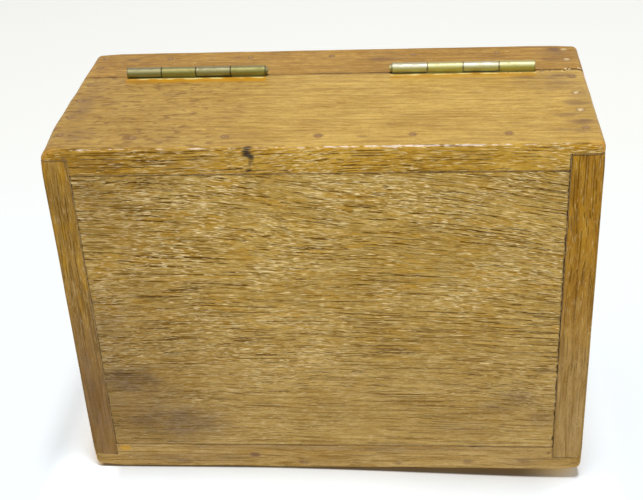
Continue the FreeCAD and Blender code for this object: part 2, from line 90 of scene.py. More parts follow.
class Field:
    # A value, colour or vector inside a finish. Sums written with it add Math nodes.
    def __init__(self, finish, socket):
        self.finish = finish
        self.socket = socket

    def output(self, name):
        return Field(self.finish, self.socket.node.outputs[name])

    def __add__(self, other):
        return self.finish.maths("ADD", self, other)

    def __sub__(self, other):
        return self.finish.maths("SUBTRACT", self, other)

    def __rsub__(self, other):
        return self.finish.maths("SUBTRACT", other, self)

    def __mul__(self, other):
        return self.finish.maths("MULTIPLY", self, other)

    def __truediv__(self, other):
        return self.finish.maths("DIVIDE", self, other)

    def __pow__(self, other):
        return self.finish.maths("POWER", self, other)

    __radd__ = __add__
    __rmul__ = __mul__


class Finish:
    # The nodes of a material, or of the world, under construction.
    def __init__(self, owner):
        self.owner = owner
        owner.use_nodes = True
        self.tree = owner.node_tree
        self.tree.nodes.clear()

    def maths(self, operation, first, second=0.0):
        return self.add("ShaderNodeMath", {"operation": operation}, {0: first, 1: second})

    def add(self, kind, settings=None, values=None, output=0):
        node = self.tree.nodes.new(kind)
        for key, value in (settings or {}).items():
            setattr(node, key, value)
        for key, value in (values or {}).items():
            socket = node.inputs[key]
            if isinstance(value, Field):
                self.tree.links.new(value.socket, socket)
            elif socket.type == "RGBA":
                socket.default_value = (*value, 1)
            else:
                socket.default_value = value
        return Field(self, node.outputs[output]) if node.outputs else node

    def place(self):
        # Where a point is on the part at rest, in millimetres.
        coordinates = self.add("ShaderNodeTexCoord", output="Object")
        return self.stretch(coordinates, (1 / mm,) * 3)

    def stretch(self, vector, factors):
        return self.add("ShaderNodeVectorMath", {"operation": "MULTIPLY"}, {0: vector, 1: factors})

    def shift(self, vector, step):
        return self.add("ShaderNodeVectorMath", {"operation": "ADD"}, {0: vector, 1: step})

    def parts(self, vector):
        x = self.add("ShaderNodeSeparateXYZ", None, {0: vector})
        return x, x.output("Y"), x.output("Z")

    def join(self, x, y, z):
        return self.add("ShaderNodeCombineXYZ", None, {0: x, 1: y, 2: z})

    def cloud(self, vector, sizes, seed, detail=0.0):
        # Soft noise from 0 to 1, with lumps of about these three sizes. Each seed reads another place in it.
        scaled = self.stretch(vector, [1 / size for size in sizes])
        moved = self.shift(scaled, [seed * step for step in seedStep])
        return self.add("ShaderNodeTexNoise", {"noise_dimensions": "3D"},
                        {"Vector": moved, "Scale": 1.0, "Detail": detail, "Roughness": 0.5})

    def ramp(self, value, low, high, start=0.0, end=1.0):
        # Goes smoothly from start to end while the value goes from low to high.
        return self.add("ShaderNodeMapRange", {"interpolation_type": "SMOOTHSTEP"},
                        {"Value": value, "From Min": low, "From Max": high, "To Min": start, "To Max": end})

    def mix(self, share, first, second, blend="MIX"):
        return self.add("ShaderNodeMix", {"data_type": "RGBA", "blend_type": blend},
                        {0: share, 6: first, 7: second}, output=2)

    def mark(self, name):
        # A value kept on the mesh's own points.
        return self.add("ShaderNodeAttribute", {"attribute_name": name}, output="Fac")

    def bump(self, height, depth):
        return self.add("ShaderNodeBump", None, {"Height": height, "Distance": depth * mm, "Strength": 1.0})

    def surface(self, values):
        shader = self.add("ShaderNodeBsdfPrincipled", None, values)
        self.add("ShaderNodeOutputMaterial", None, {"Surface": shader})
        return self.owner


# Meshes of wood

def noiseAt(points, sizes, seed):
    # Blender's own noise at each point, from about -1 to 1, with lumps of about these sizes.
    moved = points / np.array(sizes) + np.array(seedStep) * seed
    return np.array([noise.noise(spot) for spot in moved.tolist()])


def smooth(value, low, high):
    share = np.clip((value - low) / (high - low), 0, 1)
    return share * share * (3 - 2 * share)


gridding = {
    "besideEdges": (0.45, 1.0, 1.7, 2.6),    # extra lines at these distances from every edge
    "aroundNails": (-3.0, -2.0, -1.0, 0.0, 1.0, 2.0, 3.0),
    "closest": 0.42,                         # of the step, or of 1 mm where that is less
}


def planes(low, high, step, hard, dense):
    # Where a board's grid lies along one axis: evenly, closer beside each edge, and where it's asked for.
    kept = sorted({low, high, *hard})
    beside = [edge + side * gap for gap in gridding["besideEdges"] for edge in kept for side in (-1, 1)]
    even = np.linspace(low, high, round((high - low) / step) + 1)
    closest = gridding["closest"] * min(step, 1.0)
    for place in [*beside, *dense, *even]:
        if low < place < high and min(abs(place - other) for other in kept) > closest:
            kept.append(place)
    return np.array(sorted(kept))


def gridMesh(grid, wood):
    # Closed quads round the cells of a grid that are wood, and for each point the way into the wood.
    middles = np.meshgrid(*[(line[1:] + line[:-1]) / 2 for line in grid], indexing="ij")
    solid = np.pad(wood(*middles), 1)
    shape = [len(line) for line in grid]
    quads = []
    for axis in range(3):
        across, up = (axis + 1) % 3, (axis + 2) % 3
        ahead = np.roll(solid, -1, axis)
        for facing, found in ((1, solid & ~ahead), (-1, ahead & ~solid)):
            corner = np.argwhere(found)
            corner[:, across] -= 1
            corner[:, up] -= 1
            ring = [(0, 0), (1, 0), (1, 1), (0, 1)][::facing]
            quad = []
            for stepAcross, stepUp in ring:
                point = corner.copy()
                point[:, across] += stepAcross
                point[:, up] += stepUp
                quad.append(np.ravel_multi_index(point.T, shape))
            quads.append(np.stack(quad, 1))
    used, faces = np.unique(np.concatenate(quads), return_inverse=True)
    index = np.stack(np.unravel_index(used, shape), 1)
    points = np.stack([grid[axis][index[:, axis]] for axis in range(3)], 1)
    inward = np.zeros((len(used), 3))
    around = np.zeros(len(used))
    for step in np.ndindex(2, 2, 2):
        full = solid[tuple((index + step).T)]
        inward += full[:, None] * (2 * np.array(step) - 1)
        around += full
    inward /= np.linalg.norm(inward, axis=1, keepdims=True) + 1e-9
    return points, faces.reshape(-1, 4), inward, around


def bend(first, second, radius):
    # Turns a square corner zone into a round one: distances from two faces in, new distances out.
    a, b = np.maximum(radius - first, 0), np.maximum(radius - second, 0)
    far = np.hypot(a, b)
    scale = np.where(far > 0, np.maximum(a, b) / np.maximum(far, 1e-9), 1)
    both = (a > 0) & (b > 0)
    return np.where(both, radius - a * scale, first), np.where(both, radius - b * scale, second)


def roundCase(points):
    # Rounds the outside of the whole case, more where it is worn.
    half = (case["high"] - case["low"])[:2] / 2
    middle = (case["high"] + case["low"])[:2] / 2
    out = points.copy()
    flat = out[:, :2] - middle
    sign = np.where(flat < 0, -1, 1)
    depth = half - np.abs(flat)
    low, high = points[:, 2], case["high"][2] - points[:, 2]
    uneven = case["cornerUneven"] * noiseAt(points, (60, 60, 14), 3)
    radius = case["cornerRound"] * (1 + uneven + case["cornerWorn"] * wornCorner(points))
    depth[:, 0], depth[:, 1] = bend(depth[:, 0], depth[:, 1], radius)
    inset = np.maximum(radius[:, None] - depth, 0)
    arc = np.hypot(inset[:, 0], inset[:, 1])
    corner = (inset > 0).all(1)
    fromSide = np.where(corner, radius - arc, depth.min(1))
    fromEnd = np.minimum(low, high)
    uneven = case["edgeUneven"] * noiseAt(points, (22, 22, 60), 5)
    blunt = case["edgeRound"] * (1 + uneven + case["edgeWorn"] * cornerWear(points))
    newSide, newEnd = bend(fromSide, fromEnd, blunt)
    inwardStep = (newSide - fromSide)[:, None]
    toward = np.where(corner[:, None], inset / np.maximum(arc, 1e-9)[:, None],
                      (depth == depth.min(1, keepdims=True)).astype(float))
    depth += inwardStep * toward
    out[:, :2] = middle + sign * (half - depth)
    out[:, 2] += np.where(low < high, newEnd - fromEnd, fromEnd - newEnd)
    return out


def wornCorner(points):
    # The right-hand back corner of the base has been rubbed away most.
    away = points - np.array([case["high"][0], case["high"][1], 0])
    return 1 - smooth(np.linalg.norm(away * (1, 1, 0.7), axis=1), *case["wornFrom"])


def cornerWear(points):
    # 1 at the case's eight corners, fading along the edges.
    half = (case["high"] - case["low"])[:2] / 2
    middle = (case["high"] + case["low"])[:2] / 2
    side = half - np.abs(points[:, :2] - middle)
    end = np.minimum(points[:, 2], case["high"][2] - points[:, 2])
    reach = np.linalg.norm(np.stack([side[:, 0], side[:, 1], end], 1), axis=1)
    return 1 - smooth(reach, *case["wearFrom"])


def grooves(points, along, seed):
    # The open grain of a weathered face, both from 0 to 1: short furrows along it, and broader swells.
    sizes = np.full(3, 1.5)
    sizes[along] = 17
    fine = noiseAt(points, sizes, seed)
    sizes = np.full(3, 2.85)
    sizes[along] = 64.6
    broad = noiseAt(points, sizes, seed + 5)
    return smooth(fine, 0.12, 0.62), 0.5 + 0.5 * broad


nails = {
    "headWidth": 2.8,
    "headDeep": 0.7,
    "headSunk": 0.16,     # under the wood's face
    "dome": 0.10,
    "dents": 0.07,
    "rings": 5,
    "turns": 20,
    "shank": 0.75,        # half the square shank's diagonal
    "length": 24.5,
    "corner": {"box": 4, "lid": 2},
    "panel": 5,
}


def nailPlaces(node, count, axis):
    # Centres of a row of nail heads, in millimetres, on the face that they were driven through.
    low, high = boxOf(node)
    face = low[1] if low[1] < case["low"][1] + 5 else high[1]
    radius = nails["headWidth"] / 2
    start, end = low[axis] + radius, high[axis] - radius
    spots = []
    for share in np.linspace(0, 1, count):
        spot = np.array([(low[0] + high[0]) / 2, face, (low[2] + high[2]) / 2])
        spot[axis] = start + share * (end - start)
        spots.append(spot)
    return spots


nailRows = {}
for longSide in ("front", "back"):
    rows = []
    for end in ("left", "right"):
        rows += [(f"{longSide}_{end}_nails", nails["corner"]["box"], 2),
                 (f"lid_{longSide}_{end}_nails", nails["corner"]["lid"], 2)]
    rows += [(f"bottom_{longSide}_nails", nails["panel"], 0),
             (f"lid_top_{longSide}_nails", nails["panel"], 0)]
    for row, count, axis in rows:
        nailRows[row] = nailPlaces(row, count, axis)
everyNail = np.array([spot for row in nailRows.values() for spot in row])


def nailReach(points):
    # How far each point is from the nearest nail's centre line, for points on the front and back faces.
    away = np.full(len(points), 99.0)
    for spot in everyNail:
        near = np.abs(points[:, 1] - spot[1]) < 1
        reach = np.hypot(points[:, 0] - spot[0], points[:, 2] - spot[2])
        away = np.where(near, np.minimum(away, reach), away)
    return away


def makeMesh(name, points, faces, marks):
    mesh = bpy.data.meshes.new(name)
    mesh.from_pydata((points * mm).tolist(), [], faces.tolist())
    for key, values in marks.items():
        layer = mesh.attributes.new(key, "FLOAT", "POINT")
        layer.data.foreach_set("value", values.astype(np.float32))
    mesh.polygons.foreach_set("use_smooth", [True] * len(mesh.polygons))
    mesh.validate()
    return addObject(name, mesh)


def outerFaces(points):
    # Which outside faces of the case each point lies on.
    low, high = case["low"], case["high"]
    near = 0.01
    return {
        "base": points[:, 2] < low[2] + near,
        "top": points[:, 2] > high[2] - near,
        "front": points[:, 1] < low[1] + near,
        "back": points[:, 1] > high[1] - near,
        "left": points[:, 0] < low[0] + near,
        "right": points[:, 0] > high[0] - near,
    }


# Marks that age has left, in millimetres: x, y on the base or z on the back, half width, half height,
# and strength.
marksOfAge = {
    "stain": {
        "base": [(37, -76, 3.2, 1.6, 0.9), (-98.6, -73.6, 1.3, 1.0, 1.0), (103.8, 78.9, 1.4, 1.1, 1.0),
                 (96, 76, 7, 3.5, 0.45), (84, 77, 6, 4, 0.5), (60, 75, 9, 3, 0.35), (-20, 80, 9, 3, 0.3),
                 (-60, 79, 6, 2.5, 0.3), (14, -80, 4, 2, 0.6), (-30, -80, 3, 2, 0.55),
                 (-62, -79, 4, 2, 0.6), (70, -80, 6, 2.2, 0.45), (-88, -78, 4, 2.5, 0.5),
                 (0, -78, 3, 1.6, 0.4)],
        "back": [(-67, 67, 30, 2.6, 0.3), (-92, 67, 14, 3.0, 0.65), (-103, 69, 9, 2.4, 0.7),
                 (-98, 61, 12, 2.2, 0.55), (-107, 39, 7, 3.5, 0.7), (-101, 27, 9, 3.0, 0.5),
                 (-106, 20, 8, 4.5, 0.6), (-96, 13, 9, 2.6, 0.45), (-106, 12, 6, 3.0, 0.5),
                 (-18, 9, 3, 1.6, 0.6), (-103, 100, 5, 5, 0.65), (-101, 88, 7, 4, 0.55),
                 (94, 97, 5, 2.2, 0.6), (44.5, 97, 6, 2.4, 0.55), (10.8, 102.8, 9, 1.6, 0.4),
                 (-24, 92, 10, 4, 0.55), (-40, 94, 7, 3, 0.3), (-76, 82, 20, 3, 0.3),
                 (105, 45, 7, 26, 0.45), (101, 14, 12, 8, 0.5), (104, 68, 7, 5, 0.45),
                 (-98, 60, 22, 13, 0.43), (107, 88, 4, 14, 0.35), (-108, 44, 9, 40, 0.33),
                 (-104, 94, 13, 16, 0.4), (62, 7.5, 10, 2.2, 0.5), (88, 70, 14, 3, 0.45),
                 (70, 55, 6, 3, 0.35), (15, 66, 14, 1.5, 0.35), (-8, 60, 9, 1.4, 0.3),
                 (-30, 70, 9, 1.6, 0.3), (40, 20, 7, 2.0, 0.4), (22, 30, 5, 1.4, 0.3)],
    },
    "ink": {
        "base": [(28.4, 81.4, 2.4, 3.0, 1.0), (26.9, 78.4, 1.8, 3.0, 0.75), (27.4, 75.4, 1.2, 2.2, 0.4),
                 (28.2, 73.0, 2.2, 1.4, 0.7)],
        "back": [(27.6, 0.6, 2.6, 1.2, 0.7)],
    },
    "soil": {
        "base": [(72, -57, 28, 13, 0.8), (0, -71.5, 130, 2.4, 0.5), (91, -33, 20, 9, 0.9),
                 (84, -56, 16, 7, 0.85), (90, -48, 34, 26, 0.55), (98, -5, 14, 26, 0.45),
                 (109, -30, 7, 60, 0.6), (70, -78, 40, 5, 0.55), (-84, -43, 12, 8, 0.55),
                 (-95, -53, 9, 6, 0.6), (-74, -48, 11, 6, 0.5), (95, 62, 8, 12, 0.45),
                 (109, 50, 5, 20, 0.4), (-101, 66, 5, 10, 0.3), (-60, -60, 30, 9, 0.3),
                 (-90, -79, 20, 5, 0.4), (0, -79, 30, 4, 0.3)],
    },
    "bare": {
        "base": [(98.3, -72.4, 3.6, 2.2, 1.0)],
    },
}


def markedBy(spots, across, up):
    # How strongly each point is marked by the spots, from 0 to 1.
    share = np.zeros(len(across))
    for x, y, wide, high, strength in spots:
        reach = np.hypot((across - x) / wide, (up - y) / high)
        share = np.maximum(share, strength * (1 - smooth(reach, 0.1, 1.5)))
    return share


relief = {
    "base": {"swell": 0.16, "furrow": 0.24, "wave": 0.13},    # depths of the weathered base
    "sides": {"swell": 0.05, "furrow": 0.05, "wave": 0.05},
    "inside": 0.04,
    "calmFrom": (15, 60),         # the base is smoother towards the front
    "arrisUneven": 0.7,
    "splitEase": 1.35,            # how much more the edges along the lid's joint are eased
    "splitChips": 0.4,            # and how deep they are chipped, up to this end of the joint
    "splitChipsTo": (-92, -66),
    "openCorner": {"x": -100, "y": (70, 82), "ease": 0.22},   # one corner joint of the base stands open
    "dish": 0.22,                 # round each nail head
    "dishFrom": (1.2, 3.0),
}


def weather(points, inward, around, board):
    # Moves a board's points: eased edges, open grain, dishes round the nails. Gives its finish marks too.
    seed = board["seed"]
    across, up, deep = points.T
    faces = outerFaces(points)
    outside = np.any(list(faces.values()), axis=0)
    furrow, swell = grooves(points, board["along"], seed)
    rough = faces["base"]
    calm = 1 - 0.5 * smooth(-up, *relief["calmFrom"])
    wave = 1 + noiseAt(points, (30, 20, 26), seed + 2)
    base, sides = relief["base"], relief["sides"]
    onSides = sides["swell"] * swell + sides["furrow"] * furrow + sides["wave"] * wave
    onBase = calm * (base["swell"] * swell + base["furrow"] * furrow) + base["wave"] * wave
    depth = np.where(rough, onBase, np.where(outside, onSides, relief["inside"] * swell))
    moved = points.copy()
    for axis, (below, above) in enumerate((("left", "right"), ("front", "back"), ("base", "top"))):
        moved[:, axis] += depth * faces[below] - depth * faces[above]

    sharp = around <= 3
    fromSplit = np.abs(deep - case["split"])
    ease = case["arris"] * (1 + relief["arrisUneven"] * noiseAt(points, (7, 7, 7), seed + 4))
    chipped = smooth(noiseAt(points, (3.0, 9, 9), 51), -0.1, 0.4)
    chipped = chipped * (1 - smooth(across, *relief["splitChipsTo"]))
    ease = np.where(fromSplit < 0.5, ease * relief["splitEase"] + relief["splitChips"] * chipped, ease)
    corner = relief["openCorner"]
    openJoint = (across < corner["x"]) & (deep < 0.5) & (up > corner["y"][0]) & (up < corner["y"][1])
    ease = np.where(openJoint, ease + corner["ease"], ease)
    moved += np.where(sharp, ease, 0)[:, None] * inward
    fromNail = nailReach(points)
    dish = relief["dish"] * (1 - smooth(fromNail, *relief["dishFrom"]))
    moved[:, 1] += np.where(faces["back"], -dish, 0) + np.where(faces["front"], dish, 0)

    # Of the distances from the nearest side, end and face, the second says how far an outer edge is.
    distances = [case["high"][0] - np.abs(across), case["high"][1] - np.abs(up),
                 np.minimum(deep, case["high"][2] - deep)]
    fromEdge = np.sort(np.stack(distances, 1), axis=1)[:, 1]
    jointLine = np.where(sharp & (fromEdge > 0.01), 1.0 + 0.5 * openJoint - 0.4 * (across > 90), 0.0)
    splitLine = (0.75 - 0.25 * smooth(across, -80, -50)) * (fromSplit < 1.3) * faces["back"]
    marks = {
        "furrow": np.where(rough, furrow * calm, 0.3 * furrow),
        "nailed": (1 - smooth(fromNail, 1.3, 2.9)) * (1 - 0.6 * (deep > 97)),   # fainter along the top
        "edge": 1 - smooth(fromEdge, 0.0, 2.2),
        "corner": np.maximum(cornerWear(points), wornCorner(points)),
        "inside": np.where(outside, 0.0, 1.0),
        "joint": np.maximum(jointLine, splitLine),
        "chip": chipped * (fromSplit < 2.3) * faces["back"],
    }
    for mark, spots in marksOfAge.items():
        share = np.where(faces["back"], markedBy(spots.get("back", []), across, deep), 0)
        marks[mark] = np.maximum(share, np.where(rough, markedBy(spots["base"], across, up), 0))
    return moved, marks


ragged = {
    "deepest": 0.75,
    "atRight": 0.6,        # of what is broken away at the left
    "height": (0.2, 2.6),
    "reach": 1.4,
}


def raggedEnds(points, low, high):
    # The base panel's end grain is broken away along its lower edge.
    chips = 0.35 + noiseAt(points, (9, 1.7, 3), 41) + 0.5 * noiseAt(points, (9, 6, 3), 43)
    chips = np.clip(chips, 0, 1.3) * (1 - smooth(points[:, 2], *ragged["height"]))
    left = 1 - smooth(points[:, 0] - low[0], 0.0, ragged["reach"])
    right = 1 - smooth(high[0] - points[:, 0], 0.0, ragged["reach"])
    points[:, 0] += ragged["deepest"] * chips * (left - ragged["atRight"] * right)


def makeBoard(name, board):
    low, high = boxOf(name)
    panel = boxOf("bottom_panel")
    ends = boxOf("left_end_board")
    fit = case["jointFit"]
    isBack = low[1] > 0
    isLid = low[2] > case["split"]
    hard = [set(), set(), set()]
    dense = [[], [], []]
    # The front and back boards lap over the end boards with a lip, and the nails go through them.
    isLapped = "lapped" in board
    lipFrom, lipTo = (ends[1][1] + fit, high[1]) if isBack else (low[1], ends[0][1] - fit)
    if isLapped:
        hard[0] |= {panel[0][0], panel[1][0]}
        hard[1].add(lipFrom if isBack else lipTo)
        for spot in everyNail:
            if abs(spot[1] - (high if isBack else low)[1]) < 1 and low[2] < spot[2] < high[2]:
                dense[0] += [spot[0] + step for step in gridding["aroundNails"]]
                dense[2] += [spot[2] + step for step in gridding["aroundNails"]]
    # The hinge leaves lie in beds cut into the rims at the back.
    beds = [(bed[0] - case["leafFit"], bed[1] + case["leafFit"]) for bed in hinges if isLapped and isBack]
    bedLevel = low[2] + case["leafGauge"] if isLid else high[2] - case["leafGauge"]
    for bedLow, bedHigh in beds:
        hard[0] |= {bedLow[0], bedHigh[0]}
        hard[1].add(bedLow[1])
        hard[2].add(bedLevel)

    def wood(x, y, z):
        kept = np.ones(x.shape, bool)
        if isLapped:
            kept &= ((x > panel[0][0]) & (x < panel[1][0])) | ((y > lipFrom) & (y < lipTo))
        for bedLow, bedHigh in beds:
            within = (x > bedLow[0]) & (x < bedHigh[0]) & (y > bedLow[1])
            kept &= ~(within & ((z < bedLevel) if isLid else (z > bedLevel)))
        return kept

    grid = [planes(low[k], high[k], board["steps"][k], hard[k], dense[k]) for k in range(3)]
    points, faces, inward, around = gridMesh(grid, wood)
    moved, marks = weather(points, inward, around, board)
    if "ragged" in board:
        raggedEnds(moved, low, high)
    moved = roundCase(moved)
    piece = makeMesh(f"oak_{name}", moved, faces, marks)
    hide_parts(name)
    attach(piece, bodyOf[name])
    return piece


# The axis that the grain runs along, the mesh's step along each axis, and the seed of all noise.
longBoard = {"along": 0, "steps": (1.9, 1.6, 1.1), "lapped": True}
endBoard = {"along": 1, "steps": (1.6, 1.9, 1.1)}
boards = {
    "back_board": {**longBoard, "seed": 11},
    "front_board": {**longBoard, "seed": 12},
    "left_end_board": {**endBoard, "seed": 13},
    "right_end_board": {**endBoard, "seed": 14},
    "bottom_panel": {"along": 0, "steps": (1.5, 0.8, 2.2), "seed": 15, "ragged": True},
    "lid_back_rail": {**longBoard, "seed": 16},
    "lid_front_rail": {**longBoard, "seed": 17},
    "lid_left_rail": {**endBoard, "seed": 18},
    "lid_right_rail": {**endBoard, "seed": 19},
    "lid_top_panel": {"along": 0, "steps": (1.9, 1.1, 2.2), "seed": 20},
}


# Oak

# Mean colours of each board, outside and under the base.
oakTones = {
    "back_board": {"outside": (0.604, 0.390, 0.095), "under": (0.51, 0.305, 0.047)},
    "front_board": {"outside": (0.56, 0.33, 0.08), "under": (0.473, 0.305, 0.085)},
    "left_end_board": {"outside": (0.54, 0.325, 0.08), "under": (0.345, 0.173, 0.0195)},
    "right_end_board": {"outside": (0.54, 0.32, 0.08), "under": (0.333, 0.194, 0.042)},
    "bottom_panel": {"outside": (0.52, 0.32, 0.09), "under": (0.47, 0.310, 0.079)},
    "lid_back_rail": {"outside": (0.463, 0.260, 0.053)},
    "lid_front_rail": {"outside": (0.50, 0.29, 0.075)},
    "lid_left_rail": {"outside": (0.50, 0.29, 0.075)},
    "lid_right_rail": {"outside": (0.50, 0.28, 0.07)},
    "lid_top_panel": {"outside": (0.55, 0.33, 0.085)},
}
# Colours inside the box, in the grain, of what age has added, and painted colours that stand for light and shade:
# the glow and glint under the hinges, the highlight on the back's rubbed edges and on fibres that stand up, and
# the shade towards one end.
ageTones = {
    "raw": (0.50, 0.36, 0.17),
    "pore": (0.16, 0.072, 0.005),
    "check": (0.110, 0.044, 0.002),
    "amber": (0.50, 0.265, 0.022),
    "lime": (0.93, 0.73, 0.37),
    "thread": (0.94, 0.70, 0.31),
    "falloffTone": (0.83, 0.81, 0.83),
    "grey": (0.37, 0.246, 0.111),
    "bare": (0.62, 0.33, 0.045),
    "stain": (0.17, 0.088, 0.055),
    "ink": (0.018, 0.018, 0.026),
    "worn": (0.95, 0.78, 0.62),
    "rubbed": (0.66, 0.31, 0.045),
    "soil": (0.56, 0.56, 0.80),
    "joint": (0.085, 0.040, 0.014),
    "brassGlow": (0.62, 0.29, 0.010),
    "glint": (0.95, 0.78, 0.30),
    "smoke": (0.30, 0.155, 0.045),
}


# The layers that make up the figure of the oak: their size along the grain and across it, what is added
# to the board's seed, and the noise's detail.
layers = {
    "drift": (80, 36, 0, 1.0),
    "ripple": (18, 9, 1, 0.0),
    "rings": (90, 12, 2, 0.0),
    "fine": (5, 0.34, 3, 1.0),
    "broad": (26, 1.3, 4, 1.0),
    "cloudy": (40, 20, 5, 2.0),
    "pores": (4, 0.28, 6, 1.0),
    "checks": (34, 0.52, 7, 0.0),
    "raisedLit": (5, 0.36, 8, 1.0),
    "limed": (30, 22, 9, 2.0),
    "lime": (4, 0.45, 10, 1.0),
    "flecks": (5.0, 1.9, 11, 1.0),
    "edgeSheen": (3.2, 1.6, 12, 2.0),
    "mottled": (9, 5, 13, 1.0),
    "opened": (34, 18, 14, 1.0),
    "figured": (24, 2.2, 15, 2.0),
    "strokes": (9, 0.55, 16, 1.0),
    "amber": (16, 3.2, 17, 1.0),
    "specks": (1.3, 0.8, 18, 1.0),
}
# How strongly each of them, each mark of age and each painted highlight and glint, shows.
shares = {
    "outside": {"pores": 0.28, "raisedLit": 0.16, "flecks": 0.8, "figured": 0.32, "strokes": 0.40},
    "under": {"amber": 0.55, "pores": 0.5, "raisedLit": 0.95, "lime": 0.95, "sunk": 0.1, "soil": 0.9,
              "bare": 0.8},
    "raw": {"pores": 0.35},
    "age": {"rubbed": 0.4, "glint": 0.8, "stain": 0.8, "nailed": 0.6, "ink": 0.95, "joint": 0.7,
            "chip": 0.75},
}
contrast = {"dark": (0.60, 0.48, 0.22), "light": (1.36, 1.42, 1.60)}   # times the mean colour
baseLevel = (1.3, 0.5)   # heights between which the outside's finish gives way to the base's


def oak(name, board):
    f = Finish(bpy.data.materials.new(f"oak_{name}"))
    tones = oakTones[name]
    x, y, z = f.parts(f.place())
    along, a, b = (x, y, z) if board["along"] == 0 else (y, x, z)
    straight = f.join(along, a, b)
    below = f.ramp(z, *baseLevel)
    inside = f.ramp(f.mark("inside"), 0.3, 0.7)

    def layer(kind, vector):
        length, width, step, detail = layers[kind]
        return f.cloud(vector, (length, width, width), board["seed"] + step, detail)

    # The grain wanders, slowly along the board and a little from one pore to the next, and dips across
    # the upper part of the base panel.
    drift = layer("drift", straight) - 0.5
    ripple = (layer("ripple", straight) - 0.5) * 0.6
    sweep = f.ramp(y, -45, 15) * board.get("sweep", 0)
    dip = f.ramp(y, 15, 45) * board.get("dip", 0)
    bentA = a + drift * 8 + ripple + (60 - x) * (60 - x) * sweep - x * dip
    bentB = b + drift * 7 + ripple
    thread = f.join(along, bentA, bentB)

    # Year rings round a heart that lies beside the board and runs a little askew to it.
    fromA = bentA - board["heart"][0] - along * board["askew"][0]
    fromB = bentB - board["heart"][1] - along * board["askew"][1]
    radius = (fromA * fromA + fromB * fromB) ** 0.5
    rings = radius / board["ring"] + layer("rings", straight) * 1.5
    early = f.ramp(f.maths("FRACT", rings), 0.0, 0.5, 1.0, 0.0)

    # Fibres, open pores and longer checks, and the fibres that stand up between them, whose pale lines are a
    # painted highlight on their lit side.
    fine = layer("fine", thread)
    broad = layer("broad", thread)
    cloudy = layer("cloudy", straight)
    mottled = layer("mottled", straight)
    specks = layer("specks", straight)
    pores = f.ramp(layer("pores", thread) + early * 0.06, 0.58, 0.70)
    opened = f.ramp(layer("opened", straight), 0.36, 0.60, 0.0, 0.05)
    checks = f.ramp(layer("checks", thread) + early * 0.02 + opened, 0.69, 0.76)
    raisedLit = f.ramp(layer("raisedLit", thread), 0.58, 0.68)
    limed = f.ramp(layer("limed", straight), 0.42, 0.60)
    lime = f.ramp(layer("lime", thread), 0.57, 0.67) * limed
    calm = f.ramp(y, -15, -60, 1.0, 0.5) * board.get("weather", 0.6)   # smoother towards the front

    def tone(mean, fibres, bands):
        # The mean colour made darker and lighter by the figure.
        share = (fine - 0.5) * fibres + (broad - 0.5) * bands + (cloudy - 0.5) * 0.6 - (early - 0.3) * 0.12
        share = share + (mottled - 0.5) * 0.35 + (specks - 0.5) * 0.4 + 0.5
        dark = [value * scale for value, scale in zip(mean, contrast["dark"])]
        light = [value * scale for value, scale in zip(mean, contrast["light"])]
        return f.mix(share, dark, light)

    def marked(name, least, most, fray=1.0):
        # A mark from the mesh with its outline frayed along the grain.
        frayed = (fine - 0.5) * 1.6 + (mottled - 0.5) * 1.4 + (broad - 0.5) * 0.8
        return f.ramp(f.mark(name) * (1 + frayed * fray), least, most)

    depth = board.get("figure", 1.0)
    share = shares["outside"]
    outside = tone(tones["outside"], 0.75 * depth, 0.65 * depth)
    outside = f.mix(pores * share["pores"], outside, ageTones["pore"])
    # Painted highlight on the lit side of the fibres that stand up.
    outside = f.mix(raisedLit * share["raisedLit"], outside, ageTones["thread"])
    flecks = f.ramp(layer("flecks", thread), 0.54, 0.68) * f.ramp(x, *board["flecks"], 0.03, 0.95)
    outside = f.mix(flecks * share["flecks"], outside, ageTones["smoke"])
    figured = f.ramp(layer("figured", thread), 0.46, 0.70) * share["figured"]
    strokes = f.ramp(layer("strokes", thread), 0.55, 0.68) * share["strokes"]
    outside = f.mix((figured + strokes) * depth, outside, ageTones["smoke"])

    share = shares["under"]
    under = tone(tones.get("under", tones["outside"]), 1.1 * calm + 0.2, 0.9)
    amber = f.ramp(layer("amber", thread), 0.46, 0.70) * f.ramp(y, -50, 10, 0.3, 1.0)
    under = f.mix(amber * share["amber"], under, ageTones["amber"])
    under = f.mix(pores * share["pores"] * calm, under, ageTones["pore"])
    under = f.mix(checks * (0.25 + 0.65 * calm), under, ageTones["check"])
    # Painted highlight on the lit side of the fibres that stand up.
    under = f.mix(raisedLit * share["raisedLit"] * calm, under, ageTones["thread"])
    under = f.mix(lime * share["lime"] * calm, under, ageTones["lime"])
    sunk = f.ramp(f.mark("furrow") + (fine - 0.5) * 0.9, 0.55, 1.0)
    under = f.mix(sunk * share["sunk"] * calm, under, ageTones["pore"])
    greyed = f.ramp(y, 45, -60) * board.get("greyed", 0.35)
    under = f.mix(greyed, under, tone(board.get("grey", ageTones["grey"]), 0.3, 0.9))
    soiled = marked("soil", 0.05, 1.0, 0.8) * share["soil"]
    under = f.mix(soiled, under, ageTones["soil"], "MULTIPLY")
    under = f.mix(marked("bare", 0.3, 0.9, 0.5) * share["bare"], under, ageTones["bare"])

    raw = f.mix(pores * shares["raw"]["pores"], tone(ageTones["raw"], 0.7, 0.6), ageTones["pore"])
    colour = f.mix(below, outside, under)
    # Painted shade: the colour falls off towards the +x end, as the light does.
    if "falloffShade" in board:
        falloffShade = f.ramp(x + (cloudy - 0.5) * 40, *board["falloffShade"])
        colour = f.mix(falloffShade, colour, ageTones["falloffTone"], "MULTIPLY")
    colour = f.mix(inside, colour, raw)
